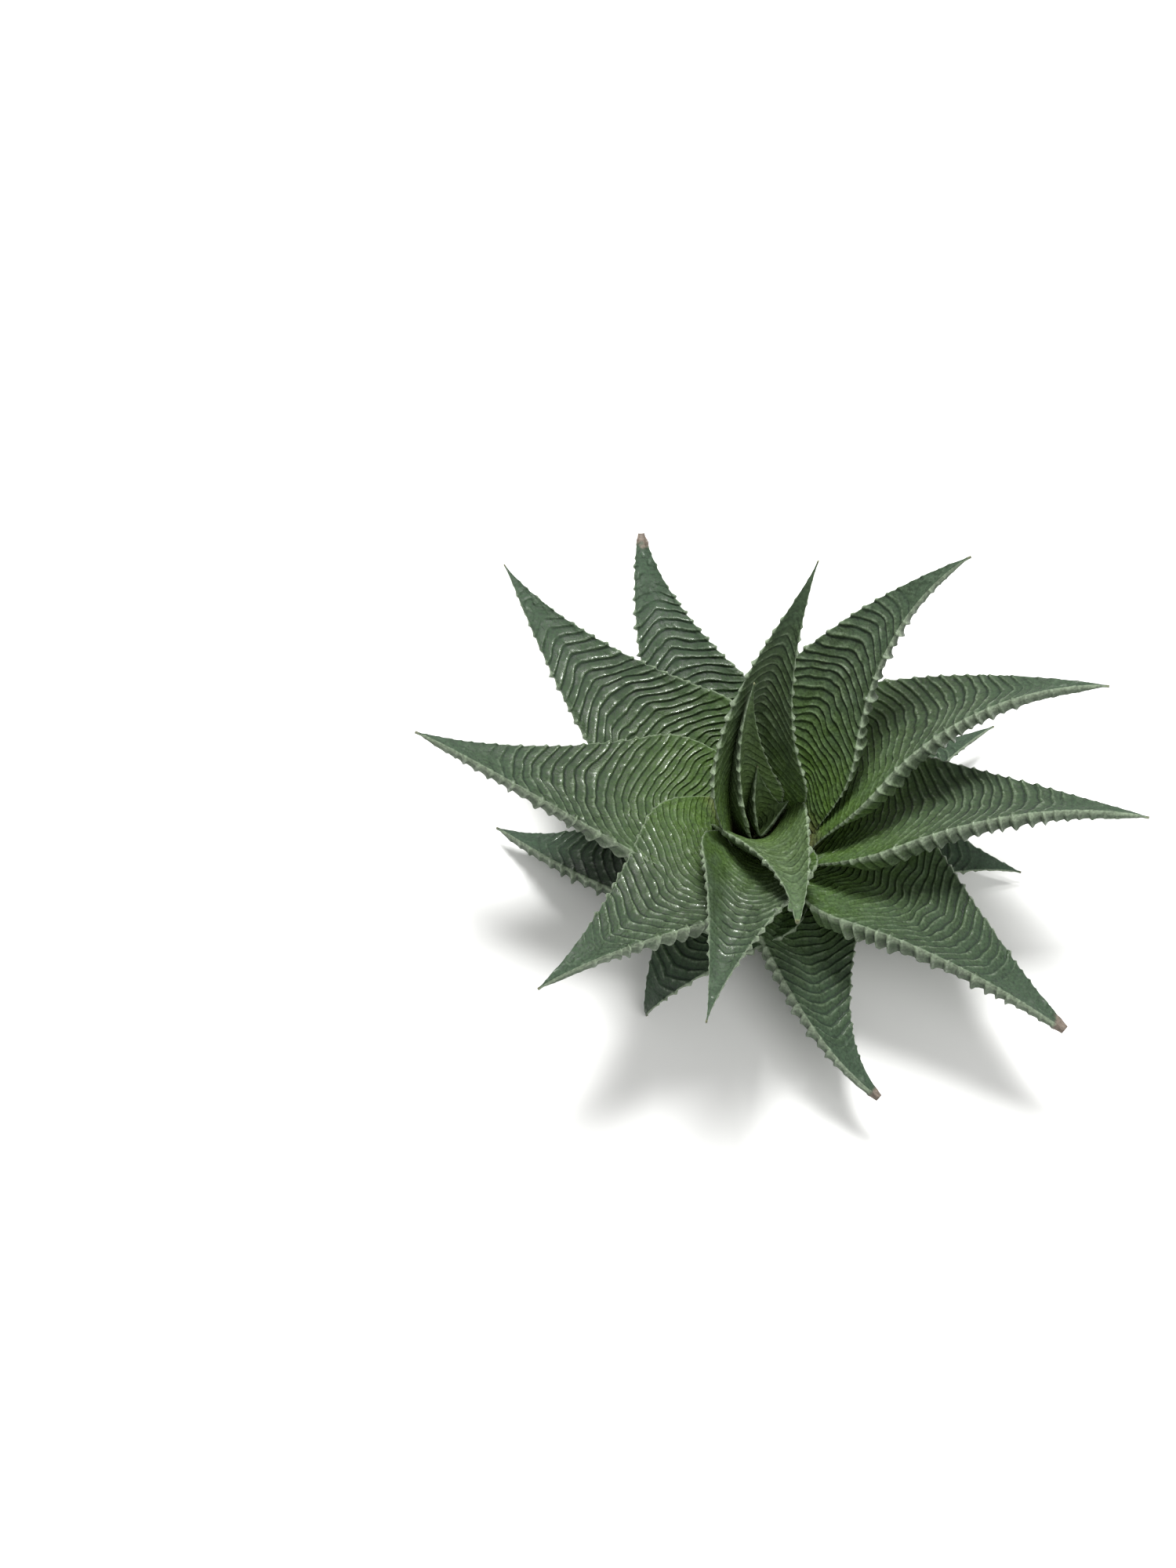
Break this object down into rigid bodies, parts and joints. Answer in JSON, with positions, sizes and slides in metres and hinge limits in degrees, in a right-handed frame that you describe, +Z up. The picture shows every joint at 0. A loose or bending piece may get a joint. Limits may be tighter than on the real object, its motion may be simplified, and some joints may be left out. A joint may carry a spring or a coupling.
{
  "type": "ridged aloe rosette, unpotted",
  "caption": "Succulent rosette of long pointed leaves with raised cross ridges and toothed margins, on a short cut stem with root stubs.",
  "frame": {"origin": "middle of the stem's flat cut face, on the surface the rosette rests on", "axes": "+Z up along the stem, +X to the right and +Y away from the viewer in the reference view"},
  "size_m": [0.1466, 0.1187, 0.0791],
  "materials": {
    "leaf": "waxy dark green",
    "stem": "dry brown bark"
  },
  "bodies": {
    "root": {"stem": "stem", "leaf_01": "leaf", "leaf_02": "leaf", "leaf_03": "leaf", "leaf_04": "leaf", "leaf_05": "leaf", "leaf_06": "leaf", "leaf_07": "leaf", "leaf_08": "leaf", "leaf_09": "leaf", "leaf_10": "leaf", "leaf_11": "leaf", "leaf_12": "leaf", "leaf_13": "leaf", "leaf_14": "leaf", "leaf_15": "leaf", "leaf_16": "leaf", "leaf_17": "leaf", "leaf_18": "leaf", "leaf_19": "leaf", "leaf_20": "leaf"}
  },
  "joints": []
}
